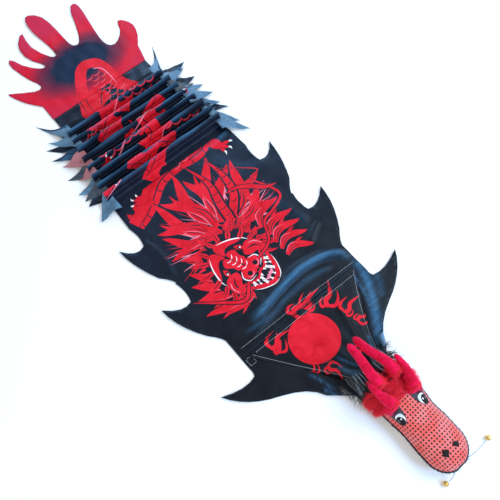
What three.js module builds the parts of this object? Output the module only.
// A ribbon dragon: a long pleated cloth body with flame fins and a stuffed dragon head, lying flat.
// Units are millimetres, +Z up, +X from the tail to the snout, floor at z = 0, origin under the box centre.
import * as THREE from "three";
import { mergeVertices } from "three/addons/utils/BufferGeometryUtils.js";

// ---- Driving dimensions ----
const CLOTH = 1.2; // thickness of each cloth solid
const GAP = 0.4; // clearance between neighbours
const BODY_HALF = 235; // half width of the cloth body
const TAIL_HALF = 194; // half width where the tail fin starts
const SEAM_X = 430; // stitched seam where the hood's upper layer starts
const NECK_X = 735; // front end of the cloth, where the head starts
const NECK_BAND_X = 706; // the band that gathers the cloth round the neck
const NECK_TURN_X = 742; // the neck strap turns here
const PLEAT_FRONT_X = -229; // first fold of the pleats
const PLEAT_PANEL = 50; // width of one pleat panel, fold to fold
const PLEAT_SLOPE = THREE.MathUtils.degToRad(68); // how steeply the panels stand at rest
const PLEAT_PAIRS = 8;
const TAIL_FIN_X = -640; // seam between the tail panel and the tail fin
const FOLD_CLEARANCE = 2.6; // distance from a fold's axis to a panel's edge
const HEAD_Y = 24; // the head lies a little to one side of the body's centre line
const HEAD_BACK_X = 747;
const SNOUT_X = 1028;
const BROW_X = 798; // the muzzle lifts about this line, at the top of the head
const PALATE_Z = 36; // underside of the upper head
const BELL_RADIUS = 8;

// Each fin of the body: where its tip is, and how far it reaches from the centre line.
const BODY_FINS = [
  { x: -74, reach: 309 },
  { x: 162, reach: 324 },
];
const HOOD_FIN = { x: 474, reach: 350 };

const PLEAT_STEP = PLEAT_PANEL * Math.cos(PLEAT_SLOPE);
const PLEAT_HEIGHT = PLEAT_PANEL * Math.sin(PLEAT_SLOPE);
const PLEAT_BACK_X = PLEAT_FRONT_X - 2 * PLEAT_PAIRS * PLEAT_STEP;
const HINGE_Z = CLOTH / 2;

const model = new THREE.Group();

// ---- Materials: colour, roughness and metalness ----
const LOOKS = {
  navySatin: [0x10131f, 0.38, 0],
  redPrint: [0xd8203f, 0.45, 0],
  webbing: [0x15161a, 0.8, 0],
  stitching: [0xd9d9dc, 0.7, 0],
  crimsonPlush: [0xe0103c, 0.75, 0],
  redFur: [0xe01028, 0.9, 0],
  blackFur: [0x111216, 0.85, 0],
  coral: [0xf0686a, 0.6, 0],
  cream: [0xeadfc8, 0.7, 0],
  redLining: [0xb5122a, 0.7, 0],
  blackTrim: [0x0c0c0f, 0.5, 0],
  eyePrint: [0xdfe8ee, 0.4, 0],
  filling: [0xf2f2ee, 0.95, 0],
  brass: [0xb08a3a, 0.3, 1],
  steel: [0xb8bcc2, 0.3, 1],
  whiskerWire: [0x5f7c99, 0.4, 0.6],
};

function add(name, geometry, look, parent = model) {
  const [color, roughness, metalness] = LOOKS[look];
  const material = new THREE.MeshStandardMaterial({ color, roughness, metalness });
  const mesh = new THREE.Mesh(geometry, material);
  mesh.name = name;
  parent.add(mesh);
  return mesh;
}

// ---- Geometry helpers ----

// A flat sheet cut to an outline, standing from z = low to low + CLOTH.
function flatSheet(outline, low = 0) {
  const shape = new THREE.Shape(outline.map(([x, y]) => new THREE.Vector2(x, y)));
  const sheet = new THREE.ExtrudeGeometry(shape, { depth: CLOTH, bevelEnabled: false });
  return sheet.translate(0, 0, low);
}

// A closed sheet between two surfaces; each surface turns (u, v) in 0..1 into a point.
function sheetBetween(outer, inner, across, along) {
  const positions = [];
  const index = [];
  for (const surface of [outer, inner])
    for (let j = 0; j <= along; j++)
      for (let i = 0; i <= across; i++) positions.push(...surface(i / across, j / along));
  const row = across + 1;
  const layer = row * (along + 1);
  const quad = (a, b, c, d) => index.push(a, b, c, a, c, d);
  for (let j = 0; j < along; j++)
    for (let i = 0; i < across; i++) {
      const a = j * row + i;
      quad(a, a + 1, a + row + 1, a + row);
      quad(layer + a + row, layer + a + row + 1, layer + a + 1, layer + a);
    }
  for (let i = 0; i < across; i++) {
    quad(i, layer + i, layer + i + 1, i + 1);
    const b = along * row + i;
    quad(b + 1, layer + b + 1, layer + b, b);
  }
  for (let j = 0; j < along; j++) {
    const a = j * row;
    quad(a + row, layer + a + row, layer + a, a);
    const b = a + across;
    quad(b, layer + b, layer + b + row, b + row);
  }
  return closedGeometry(positions, index);
}

// A solid through rings of points, closed with a flat cap at each end.
function loft(rings) {
  const positions = [];
  const index = [];
  const sides = rings[0].length;
  for (const ring of rings) for (const point of ring) positions.push(...point);
  for (let r = 0; r < rings.length - 1; r++)
    for (let i = 0; i < sides; i++) {
      const a = r * sides + i;
      const b = r * sides + ((i + 1) % sides);
      index.push(a, b, b + sides, a, b + sides, a + sides);
    }
  const last = (rings.length - 1) * sides;
  for (let i = 1; i < sides - 1; i++) {
    index.push(0, i + 1, i);
    index.push(last, last + i, last + i + 1);
  }
  return closedGeometry(positions, index);
}

// Keeps the shared vertices merged and turns the solid so that its faces point out.
function closedGeometry(positions, index) {
  let geometry = new THREE.BufferGeometry();
  geometry.setAttribute("position", new THREE.Float32BufferAttribute(positions, 3));
  geometry.setIndex(index);
  geometry = mergeVertices(geometry, 1e-4);
  if (signedVolume(geometry) < 0) geometry.index.array.reverse();
  return geometry.toNonIndexed();
}

function signedVolume(geometry) {
  const p = geometry.attributes.position;
  const corner = [0, 1, 2].map(() => new THREE.Vector3());
  let volume = 0;
  for (let i = 0; i < geometry.index.count; i += 3) {
    corner.forEach((c, k) => c.fromBufferAttribute(p, geometry.index.getX(i + k)));
    volume += corner[0].dot(corner[1].clone().cross(corner[2])) / 6;
  }
  return volume;
}

// A stuffed limb: round sections along a curve, their radius given by a function of 0..1.
function limb(points, radius, sides = 14, steps = 14) {
  const curve = new THREE.CatmullRomCurve3(points.map((p) => new THREE.Vector3(...p)));
  const frames = curve.computeFrenetFrames(steps, false);
  const rings = [];
  for (let s = 0; s <= steps; s++) {
    const centre = curve.getPointAt(s / steps);
    const ring = [];
    for (let i = 0; i < sides; i++) {
      const angle = (2 * Math.PI * i) / sides;
      const point = centre
        .clone()
        .addScaledVector(frames.normals[s], radius(s / steps) * Math.cos(angle))
        .addScaledVector(frames.binormals[s], radius(s / steps) * Math.sin(angle));
      ring.push(point.toArray());
    }
    rings.push(ring);
  }
  return loft(rings);
}

// A round cord or wire along a curve.
function wire(points, radius, steps, sides = 8) {
  const path = new THREE.CatmullRomCurve3(points.map((p) => new THREE.Vector3(...p)));
  const section = new THREE.Shape();
  for (let i = 0; i < sides; i++) {
    const angle = (2 * Math.PI * i) / sides;
    const corner = [radius * Math.cos(angle), radius * Math.sin(angle)];
    if (i === 0) section.moveTo(...corner);
    else section.lineTo(...corner);
  }
  return new THREE.ExtrudeGeometry(section, { steps, extrudePath: path, bevelEnabled: false });
}

const bend = (a, b, c, points) =>
  new THREE.QuadraticBezierCurve(
    new THREE.Vector2(...a),
    new THREE.Vector2(...b),
    new THREE.Vector2(...c),
  )
    .getPoints(points)
    .map((p) => [p.x, p.y]);

const mirrored = (points) => points.map(([x, y]) => [x, -y]).reverse();

// ---- The cloth body ----

// Half width of the body: constant at the front, and narrower through the pleats to the tail.
function bodyHalf(x) {
  const share = THREE.MathUtils.clamp((PLEAT_FRONT_X - x) / (PLEAT_FRONT_X - TAIL_FIN_X), 0, 1);
  return BODY_HALF - (BODY_HALF - TAIL_HALF) * share;
}

// One edge of a flame fin, from the tail side to the head side: a hooked tip over a scooped valley.
function finEdge({ x, reach }, half) {
  const valley = [x + 35, half + 4];
  const tip = [x, reach];
  const shoulder = [x + 150, half + 32];
  return [
    ...bend([x - 40, half + 4], [x + 2, half - 8], valley, 5),
    ...bend(valley, [x + 52, half + 40], tip, 4).slice(1),
    ...bend(tip, [x + 75, reach - 5], shoulder, 5).slice(1),
    ...bend(shoulder, [x + 178, half + 6], [x + 196, half], 3).slice(1),
  ];
}

function middlePanel() {
  const back = PLEAT_FRONT_X + FOLD_CLEARANCE;
  const front = SEAM_X - GAP;
  const edge = [
    [back, BODY_HALF],
    ...BODY_FINS.flatMap((fin) => finEdge(fin, BODY_HALF)),
    [front, BODY_HALF],
  ];
  return flatSheet([...edge, ...mirrored(edge)]);
}

function frontPanel() {
  const { x, reach } = HOOD_FIN;
  const neckHalf = 70;
  const edge = [
    [SEAM_X + GAP, BODY_HALF],
    ...bend([x - 10, BODY_HALF], [x + 8, BODY_HALF - 3], [x + 17, BODY_HALF + 4], 3),
    ...bend([x + 17, BODY_HALF + 4], [x + 32, BODY_HALF + 46], [x, reach], 4).slice(1),
    ...bend([x, reach], [x + 70, reach - 40], [x + 107, 218], 6).slice(1),
    ...bend([x + 107, 218], [x + 140, 140], [x + 190, 118], 4).slice(1),
    [NECK_X - 12, neckHalf],
  ];
  return flatSheet([...edge, ...mirrored(edge)]);
}

// The hood: an upper layer that rises from its seam to a gathered tube at the neck.
const hoodHalf = (share) => 168 * (1 - share) ** 1.15 + 52;
const hoodRise = (share) => 3 + 52 * share ** 1.6;
function hoodSurface(lift) {
  return (u, v) => {
    const share = v;
    const side = 2 * u - 1;
    const x = SEAM_X + 3 + (NECK_BAND_X - 13 - SEAM_X) * share;
    const arch = Math.max(0, 1 - side ** 2) ** 0.6;
    const y = hoodHalf(share) * side + HEAD_Y * share ** 2;
    return [x, y, CLOTH + GAP + lift + (hoodRise(share) - 2) * arch];
  };
}

const STRAP_HALF = 12;
const STRAP_END_X = 712;
const NECK_STRAP_LENGTH = 24; // short enough to clear the webbing's end as the neck turns
function spineWebbing() {
  const start = SEAM_X + 30;
  const route = (lift) => (u, v) => {
    const x = start + (STRAP_END_X - start) * v;
    return [x, STRAP_HALF * (2 * u - 1) + HEAD_Y * v, CLOTH + GAP + lift];
  };
  return sheetBetween(route(1), route(0), 1, 8);
}

function addBody() {
  const ribbon = new THREE.Group();
  model.add(ribbon);
  add("middle_panel", middlePanel(), "navySatin", ribbon);
  add("front_panel", frontPanel(), "navySatin", ribbon);
  const hood = sheetBetween(hoodSurface(CLOTH), hoodSurface(0), 20, 14);
  add("neck_hood", hood, "navySatin", ribbon);
  add("spine_webbing", spineWebbing(), "webbing", ribbon);
  const tape = new THREE.BoxGeometry(14, 2 * BODY_HALF - 20, 1);
  tape.translate(SEAM_X - 12, 0, CLOTH + GAP + 0.5);
  add("hood_seam_tape", tape, "webbing", ribbon);
  for (const [side, sign] of [["left", -1], ["right", 1]]) {
    const patch = new THREE.BoxGeometry(14, 12, 0.8);
    patch.translate(SEAM_X - 12, sign * (BODY_HALF - 16), CLOTH + GAP + 1 + GAP + 0.4);
    add(`seam_patch_${side}`, patch, "stitching", ribbon);
  }
}

// ---- The pleats: a zigzag of panels, each hinged to the next along a fold ----
function addPleats() {
  const panelLength = PLEAT_PANEL - 2 * FOLD_CLEARANCE;
  for (let i = 0; i < 2 * PLEAT_PAIRS; i++) {
    const rising = i % 2 === 0;
    const x = PLEAT_FRONT_X - (i + 0.5) * PLEAT_STEP;
    const panel = new THREE.BoxGeometry(panelLength, 2 * bodyHalf(x), CLOTH);
    const name = `pleat_panel_${String(i + 1).padStart(2, "0")}`;
    const mesh = add(name, panel, "navySatin");
    mesh.position.set(x, 0, HINGE_Z + PLEAT_HEIGHT / 2);
    mesh.rotation.y = rising ? PLEAT_SLOPE : -PLEAT_SLOPE;
  }
}

// ---- The tail ----
function tailPanel() {
  const back = TAIL_FIN_X + FOLD_CLEARANCE;
  const front = PLEAT_BACK_X - FOLD_CLEARANCE;
  const edge = [
    [back, bodyHalf(back)],
    [front, bodyHalf(front)],
  ];
  return flatSheet([...edge, ...mirrored(edge)]);
}

// The tail fin's outline, finger by finger, from its left base corner round to its right one.
const TAIL_FINGERS = [
  [[-681, -193], [-735, -232], [-799, -258], [-792, -240], [-749, -175]],
  [[-760, -150], [-815, -170], [-899, -187], [-922, -172], [-860, -144], [-818, -104]],
  [[-828, -92], [-890, -123], [-955, -119], [-996, -78], [-930, -86], [-850, -59]],
  [[-833, -36], [-889, -34], [-970, -44], [-1036, -38], [-1051, -14], [-1007, 20], [-930, 28]],
  [[-844, 30], [-824, 52], [-874, 83], [-976, 119], [-990, 146], [-955, 152], [-850, 135]],
  [[-786, 127], [-750, 136], [-744, 165], [-778, 203], [-820, 220], [-812, 240]],
  [[-772, 256], [-725, 242], [-685, 214]],
];

function tailFin() {
  const base = TAIL_FIN_X - FOLD_CLEARANCE;
  const corners = TAIL_FINGERS.flat().map(([x, y]) => new THREE.Vector2(x, y));
  const outline = new THREE.SplineCurve(corners).getPoints(corners.length * 2);
  const flat = outline.map((p) => [p.x, p.y]);
  return flatSheet([[base, -TAIL_HALF], ...flat, [base, TAIL_HALF]]);
}

function addTail() {
  add("tail_panel", tailPanel(), "navySatin");
  add("tail_fin", tailFin(), "redPrint");
}

// ---- The head ----

// Size of the upper head's section at x: half width and height above the palate.
const MUZZLE_ROUND_X = 968;
function headSection(x, grow = 0) {
  const round = Math.max(0, (x - MUZZLE_ROUND_X) / (SNOUT_X - MUZZLE_ROUND_X));
  const taper = THREE.MathUtils.clamp((x - HEAD_BACK_X) / (MUZZLE_ROUND_X - HEAD_BACK_X), 0, 1);
  const roundOff = Math.sqrt(Math.max(0, 1 - round ** 2));
  return {
    half: (63 - 5 * taper) * roundOff + grow,
    height: (42 - 4 * taper) * (0.45 + 0.55 * roundOff) + grow,
  };
}

// A point on the upper head's surface: angle 0 is the right edge, 180 degrees the left one.
function headPoint(x, angle, grow = 0) {
  const { half, height } = headSection(Math.min(x, SNOUT_X - 1.5), grow);
  const power = 0.8;
  const across = Math.sign(Math.cos(angle)) * Math.abs(Math.cos(angle)) ** power;
  const up = Math.abs(Math.sin(angle)) ** power;
  const forward = x > MUZZLE_ROUND_X ? grow * ((x - MUZZLE_ROUND_X) / (SNOUT_X - MUZZLE_ROUND_X)) : 0;
  return [x + forward, HEAD_Y + half * across, PALATE_Z + height * up];
}

function headFilling(from, to, sections) {
  const rings = [];
  const sides = 14;
  for (let s = 0; s <= sections; s++) {
    const share = Math.sin((s / sections) * (Math.PI / 2));
    const x = from + (to - from) * share;
    const ring = [];
    for (let i = 0; i <= sides; i++) ring.push(headPoint(x, (Math.PI * i) / sides));
    rings.push(ring);
  }
  return loft(rings);
}

function muzzleSkin() {
  const back = BROW_X + 2;
  const at = (grow) => (u, v) => {
    const x = back + (SNOUT_X - 1.5 - back) * Math.sin((v * Math.PI) / 2);
    return headPoint(x, Math.PI * (0.03 + 0.94 * u), grow);
  };
  return sheetBetween(at(1.6), at(GAP), 18, 16);
}

// A band of the head's surface between two places, round its top.
function headBand(from, to, low, high, inset) {
  const at = (grow) => (u, v) =>
    headPoint(from + (to - from) * v, Math.PI * (inset + (1 - 2 * inset) * u), grow);
  return sheetBetween(at(high), at(low), 18, 4);
}

// A round patch that follows the muzzle's surface.
function muzzlePatch(x, offset, radiusX, radiusY) {
  const { half } = headSection(x);
  const middle = Math.acos(Math.sign(offset) * (Math.abs(offset) / half) ** (1 / 0.8));
  const spread = radiusY / half;
  const at = (grow) => (u, v) => {
    const a = 2 * u - 1;
    const b = 2 * v - 1;
    const along = b * Math.sqrt(1 - (a * a) / 2);
    const round = a * Math.sqrt(1 - (b * b) / 2);
    return headPoint(x + radiusX * along, middle + spread * round, grow);
  };
  return sheetBetween(at(3), at(2), 6, 6);
}

// The edge of the muzzle at the palate, pushed outwards by grow.
function muzzleEdge(grow, z, back) {
  const points = [];
  const count = 26;
  for (let i = 0; i <= count; i++) {
    const share = i / count;
    const side = share < 0.5 ? 1 : -1;
    const along = Math.sin(Math.PI * share);
    const x = back + (SNOUT_X - 1.5 - back) * along ** 0.8;
    const [px, py] = headPoint(x, side > 0 ? 0 : Math.PI, grow);
    points.push([px, py, z]);
  }
  return points;
}

function palateLining() {
  const edge = muzzleEdge(-3, 0, BROW_X + 4).map(([x, y]) => [x, y]);
  return flatSheet(edge, PALATE_Z - GAP - CLOTH);
}

// The lower jaw: a flat-topped boat shape under the muzzle.
const JAW_FRONT_X = 1000;
const JAW_BACK_X = 800;
const JAW_TOP = 30;
function jawRing(x, grow = 0) {
  const round = Math.max(0, (x - 950) / (JAW_FRONT_X + 2 - 950));
  const roundOff = Math.sqrt(Math.max(0, 1 - round ** 2));
  const half = 54 * roundOff + grow;
  const depth = (JAW_TOP - 0.6) * (0.5 + 0.5 * roundOff);
  const ring = [];
  const sides = 10;
  for (let i = 0; i <= sides; i++) {
    const angle = (Math.PI * i) / sides;
    const across = Math.sign(Math.cos(angle)) * Math.abs(Math.cos(angle)) ** 0.7;
    const down = Math.min(1, Math.sin(angle) ** 0.6 * 1.04);
    ring.push([x, HEAD_Y + half * across, JAW_TOP - depth * down]);
  }
  return ring;
}

function lowerJaw() {
  const rings = [];
  const sections = 10;
  for (let s = 0; s <= sections; s++) {
    const share = Math.sin((s / sections) * (Math.PI / 2));
    rings.push(jawRing(JAW_BACK_X + (JAW_FRONT_X - JAW_BACK_X) * share));
  }
  return loft(rings);
}

function jawLining() {
  const edge = [];
  const steps = 12;
  for (let s = 0; s <= steps; s++) {
    const x = JAW_BACK_X + 2 + (JAW_FRONT_X - JAW_BACK_X - 4) * Math.sin((s / steps) * (Math.PI / 2));
    edge.push([x, jawRing(x, -2)[0][1]]);
  }
  const far = edge.map(([x, y]) => [x, 2 * HEAD_Y - y]).reverse();
  return flatSheet([...edge, ...far], JAW_TOP + GAP);
}

function addHead() {
  const head = new THREE.Group();
  model.add(head);
  add("skull_filling", headFilling(HEAD_BACK_X, BROW_X - 1, 3), "filling", head);
  add("muzzle_filling", headFilling(BROW_X + 1, SNOUT_X - 1.5, 14), "filling", head);
  add("muzzle_skin", muzzleSkin(), "coral", head);
  add("palate_lining", palateLining(), "redLining", head);
  const piping = wire(muzzleEdge(5.2, PALATE_Z + 0.5, BROW_X + 2), 2.4, 60);
  add("muzzle_piping", piping, "blackTrim", head);
  add("mane_collar", headBand(760, 794, GAP, 8, 0.04), "redFur", head);
  add("neck_ruff", headBand(748, 759, GAP, 6, 0.06), "blackFur", head);
  for (const [side, sign] of [["left", -1], ["right", 1]]) {
    add(`eye_${side}`, muzzlePatch(836, sign * 42, 19, 17), "eyePrint", head);
    add(`nostril_${side}`, muzzlePatch(978, sign * 19, 7, 5), "blackTrim", head);
  }
  add("lower_jaw", lowerJaw(), "cream", head);
  add("jaw_lining", jawLining(), "redLining", head);
  addNeck();
  addHorns(head);
}

// The band that gathers the cloth round the neck, and the strap that carries the pull through it.
function addNeck() {
  const width = 12;
  const hoop = (grow) => (u, v) => {
    const angle = 2 * Math.PI * u;
    const y = HEAD_Y + (54 + grow) * Math.cos(angle);
    return [NECK_BAND_X + width * (v - 0.5), y, 34 + (29 + grow) * Math.sin(angle)];
  };
  add("neck_band", ringSolid(hoop(2), hoop(0), 24), "webbing");
  const strap = new THREE.BoxGeometry(NECK_STRAP_LENGTH, 2 * STRAP_HALF, 1);
  strap.translate(NECK_TURN_X - 2 - NECK_STRAP_LENGTH / 2, HEAD_Y, CLOTH + GAP + 0.5);
  add("neck_strap", strap, "webbing");
}

// A closed ring between an outer and an inner hoop.
function ringSolid(outer, inner, around) {
  const positions = [];
  const index = [];
  for (let i = 0; i < around; i++)
    for (const corner of [outer(i / around, 0), outer(i / around, 1), inner(i / around, 1), inner(i / around, 0)])
      positions.push(...corner);
  for (let i = 0; i < around; i++)
    for (let k = 0; k < 4; k++) {
      const a = 4 * i + k;
      const b = 4 * i + ((k + 1) % 4);
      const c = 4 * ((i + 1) % around) + ((k + 1) % 4);
      const d = 4 * ((i + 1) % around) + k;
      index.push(a, b, c, a, c, d);
    }
  return closedGeometry(positions, index);
}

function addHorns(head) {
  const roundTip = (thick, thin) => (t) => {
    const taper = thick + (thin - thick) * t;
    const tipRound = t > 0.9 ? Math.sqrt(Math.max(0, 1 - ((t - 0.9) / 0.102) ** 2)) : 1;
    return Math.max(0.6, taper * tipRound);
  };
  const rightHorn = [[742, HEAD_Y + 30, 101], [700, HEAD_Y + 24, 105], [650, HEAD_Y + 11, 101], [598, HEAD_Y + 8, 88]];
  const leftHorn = [[738, HEAD_Y - 32, 101], [700, HEAD_Y - 31, 105], [652, HEAD_Y - 23, 101], [603, HEAD_Y - 17, 88]];
  add("horn_right", limb(rightHorn, roundTip(14.5, 9)), "crimsonPlush", head);
  add("horn_left", limb(leftHorn, roundTip(14.5, 9)), "crimsonPlush", head);
  const rightEar = [[800, HEAD_Y + 40, 96], [770, HEAD_Y + 49, 103], [735, HEAD_Y + 55, 106], [706, HEAD_Y + 57, 104]];
  const leftEar = [[798, HEAD_Y - 42, 96], [770, HEAD_Y - 50, 103], [742, HEAD_Y - 54, 106], [718, HEAD_Y - 55, 104]];
  add("ear_right", limb(rightEar, roundTip(15, 5)), "crimsonPlush", head);
  add("ear_left", limb(leftEar, roundTip(15, 5)), "crimsonPlush", head);
}

// ---- Whiskers and bells ----
const WHISKERS = {
  left: {
    root: [1027, HEAD_Y - 16, 29],
    route: [[1029.5, HEAD_Y - 19, 29], [1037, HEAD_Y - 30, 26], [1041, HEAD_Y - 40, 18], [1042, HEAD_Y - 48, 12.5]],
    bell: [1041.5, -34.5, BELL_RADIUS + 0.3],
  },
  right: {
    root: [1027, HEAD_Y + 24, 29],
    route: [[1029.5, HEAD_Y + 27, 29], [1034, HEAD_Y + 52, 30], [1036, HEAD_Y + 82, 21], [1036, HEAD_Y + 104, 12.5]],
    bell: [1036, 141.4, BELL_RADIUS + 0.3],
  },
};

// A jingle bell: a thin brass ball, open at one end, with its loose pellet inside.
function bellShell() {
  const wall = 0.9;
  const mouth = THREE.MathUtils.degToRad(28);
  const arc = 9;
  const profile = [];
  for (let i = 0; i <= arc; i++) {
    const angle = mouth + ((Math.PI - mouth) * i) / arc;
    profile.push(new THREE.Vector2(BELL_RADIUS * Math.sin(angle), BELL_RADIUS * Math.cos(angle)));
  }
  for (let i = arc; i >= 0; i--) {
    const angle = mouth + ((Math.PI - mouth) * i) / arc;
    const inside = BELL_RADIUS - wall;
    profile.push(new THREE.Vector2(inside * Math.sin(angle), inside * Math.cos(angle)));
  }
  profile.push(profile[0].clone());
  for (const point of profile) {
    if (Math.abs(point.x) < 1e-6) point.x = 0;
  }
  return tidy(new THREE.LatheGeometry(profile, 16));
}

// A three.js solid with its shared vertices merged and its faces pointing out.
function tidy(source) {
  source.deleteAttribute("normal");
  source.deleteAttribute("uv");
  const merged = mergeVertices(source, 1e-4);
  const index = [];
  for (let i = 0; i < merged.index.count; i += 3) {
    const [a, b, c] = [0, 1, 2].map((k) => merged.index.getX(i + k));
    if (a !== b && b !== c && c !== a) index.push(a, b, c);
  }
  return closedGeometry([...merged.attributes.position.array], index);
}

function addWhiskers() {
  for (const [side, { root, route, bell }] of Object.entries(WHISKERS)) {
    const crimp = new THREE.CylinderGeometry(2.2, 2.2, 4, 12);
    crimp.translate(...root);
    add(`whisker_crimp_${side}`, crimp, "whiskerWire");
    add(`whisker_${side}`, wire(route, 1, 12), "whiskerWire");
    const shell = add(`bell_${side}`, bellShell(), "brass");
    shell.rotation.x = side === "left" ? Math.PI : 0; // the mouth faces away from the whisker
    shell.position.set(...bell);
    const pellet = new THREE.SphereGeometry(1.8, 10, 8);
    add(`bell_pellet_${side}`, tidy(pellet), "steel").position.set(bell[0] - 4.9, bell[1], bell[2] - 0.6);
  }
}

// ---- The tow point under the throat, where a throwing cord's clip goes ----
const TOW_Z = 9;
function addTowPoint() {
  const tab = flatSheet(
    [[JAW_BACK_X - 0.5, HEAD_Y - 8], [JAW_BACK_X - 0.5, HEAD_Y + 8], [JAW_BACK_X - 12, HEAD_Y + 8], [JAW_BACK_X - 12, HEAD_Y - 8]],
    TOW_Z - CLOTH / 2,
  );
  add("tow_webbing", tab, "webbing");
  const ring = new THREE.TorusGeometry(7, 1, 8, 24);
  add("tow_ring", tidy(ring), "steel").position.set(JAW_BACK_X - 21, HEAD_Y, TOW_Z);
  const barrel = new THREE.CylinderGeometry(3.2, 3.2, 8, 16);
  barrel.rotateZ(Math.PI / 2);
  add("swivel_barrel", barrel, "brass").position.set(JAW_BACK_X - 34, HEAD_Y, TOW_Z);
  const eye = new THREE.TorusGeometry(4.4, 0.9, 8, 20);
  add("swivel_eye", tidy(eye), "steel").position.set(JAW_BACK_X - 44.5, HEAD_Y, TOW_Z);
}

addBody();
addPleats();
addTail();
addHead();
addWhiskers();
addTowPoint();

export default model;
